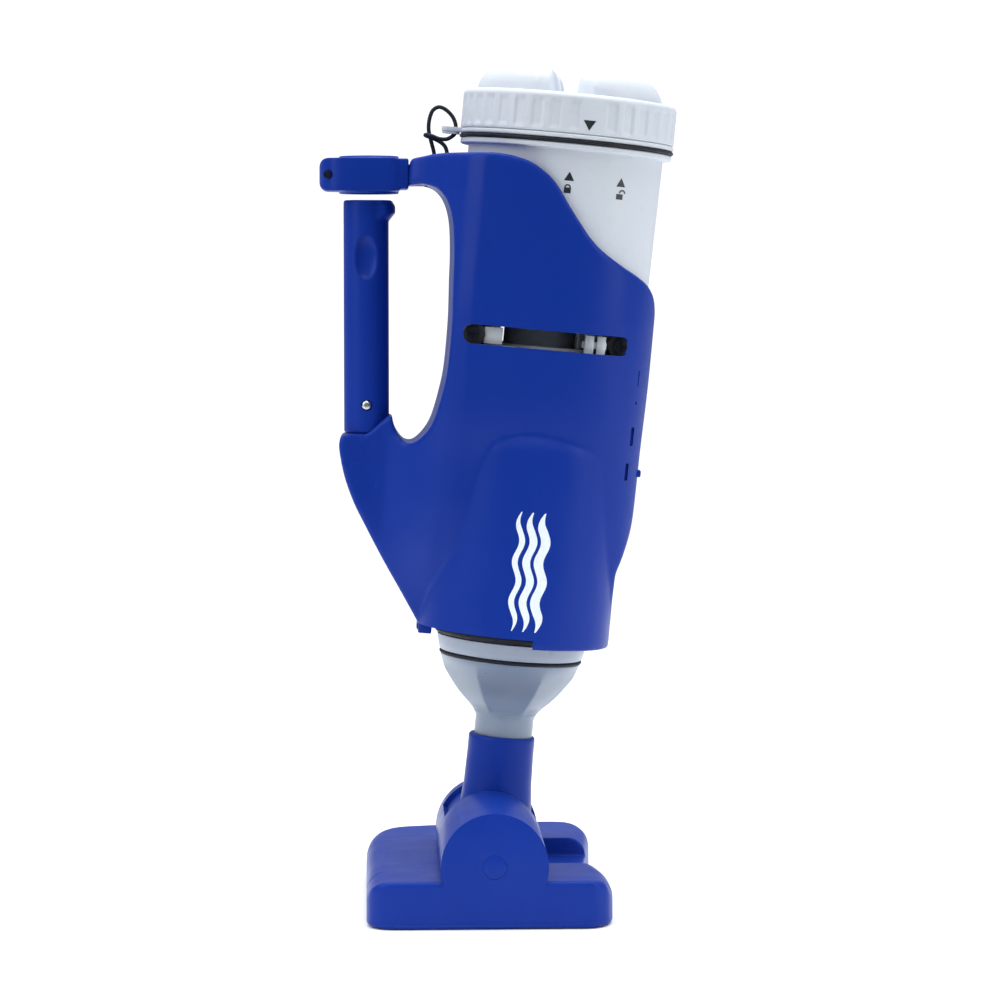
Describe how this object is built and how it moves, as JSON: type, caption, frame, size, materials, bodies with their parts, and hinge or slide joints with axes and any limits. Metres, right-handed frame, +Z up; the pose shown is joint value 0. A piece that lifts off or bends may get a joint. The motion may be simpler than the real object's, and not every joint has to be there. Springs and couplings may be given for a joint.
{
  "type": "hand-held battery pool vacuum",
  "caption": "Hand-held battery pool vacuum on a swivelling vacuum head, with a pole ring, lift-off grip, twist-off cap and clear pull-off nose cone.",
  "frame": {"origin": "middle of the part's box on the floor plane, at the underside of the sole plate", "axes": "+Z up; +X the way the body leans from the vacuum head; -Y the side with the slot screws and the print"},
  "size_m": [0.2124, 0.22, 0.4989],
  "materials": {
    "blue_plastic": "moulded, semi-gloss",
    "grey_plastic": "moulded, semi-gloss",
    "collar_plastic": "moulded, satin",
    "clear_plastic": "clear, moulded",
    "black_rubber": "soft, matte",
    "cord": "smooth, matte",
    "dark_plastic": "moulded, matte",
    "cell_wrap": "shrink wrap",
    "steel": "machined",
    "filter_mesh": "fine woven mesh"
  },
  "bodies": {
    "housing": {"housing_front": "blue_plastic", "housing_back": "blue_plastic", "slot_screw_left": "steel", "slot_screw_right": "steel", "pole_ring": "blue_plastic", "ring_screw": "steel", "battery_pod": "grey_plastic", "battery_cradle": "dark_plastic", "battery_cell_1": "cell_wrap", "battery_cell_2": "cell_wrap", "battery_cell_3": "cell_wrap", "battery_cell_4": "cell_wrap", "battery_cell_5": "cell_wrap", "battery_cell_6": "cell_wrap", "charge_socket": "black_rubber", "motor": "steel", "shaft_seal": "black_rubber", "pump_housing": "grey_plastic", "cap_tether": "cord"},
    "cap_seal": {"tether_ring": "grey_plastic", "cap_o_ring": "black_rubber"},
    "cap": {"cap": "grey_plastic"},
    "rotor": {"motor_shaft": "steel", "impeller": "dark_plastic"},
    "grip": {"handle_grip": "blue_plastic", "snap_spring": "steel"},
    "button": {"snap_button": "steel"},
    "nose": {"nose_cone": "clear_plastic", "nose_collar": "collar_plastic", "nose_o_ring": "black_rubber", "collar_gasket": "black_rubber", "flap_pin": "steel", "filter_frame": "collar_plastic", "filter_bag": "filter_mesh"},
    "flap": {"flap_valve": "black_rubber"},
    "neck": {"neck": "blue_plastic"},
    "head": {"head_shell": "blue_plastic", "axle_plug": "blue_plastic", "sole_plate": "blue_plastic", "sole_screw_1": "steel", "sole_screw_2": "steel", "sole_screw_3": "steel", "sole_screw_4": "steel"}
  },
  "joints": [
    {"name": "cap_lift", "type": "slide", "parent": "housing", "child": "cap_seal", "axis": [0.0906, 0, 0.9959], "range_m": [0, 0.045], "deforming": ["cap_tether"]},
    {"name": "cap_twist", "type": "hinge", "parent": "cap_seal", "child": "cap", "pos_m": [0.04096, -0.002, 0.45336], "axis": [0.0906, 0, 0.9959], "range_deg": [-8, 25]},
    {"name": "impeller_spin", "type": "hinge", "parent": "housing", "child": "rotor", "pos_m": [0.02243, -0.002, 0.31046], "axis": [0.0906, 0, 0.9959], "continuous": true},
    {"name": "grip_lift", "type": "slide", "parent": "housing", "child": "grip", "axis": [0, 0, 1], "range_m": [0, 0.2]},
    {"name": "button_press", "type": "slide", "parent": "grip", "child": "button", "axis": [0, 1, 0], "range_m": [0, 0.003], "stiffness_N_per_m": 400},
    {"name": "nose_pull", "type": "slide", "parent": "housing", "child": "nose", "axis": [-0.0906, 0, -0.9959], "range_m": [0, 0.12]},
    {"name": "flap_swing", "type": "hinge", "parent": "nose", "child": "flap", "pos_m": [-0.01802, -0.002, 0.13078], "axis": [0, -1, 0], "range_deg": [0, 60]},
    {"name": "neck_pull", "type": "slide", "parent": "nose", "child": "neck", "axis": [-0.0906, 0, -0.9959], "range_m": [0, 0.03]},
    {"name": "head_tilt", "type": "hinge", "parent": "neck", "child": "head", "pos_m": [-0.00597, -0.002, 0.0359], "axis": [0, -1, 0], "range_deg": [-15, 64]}
  ]
}
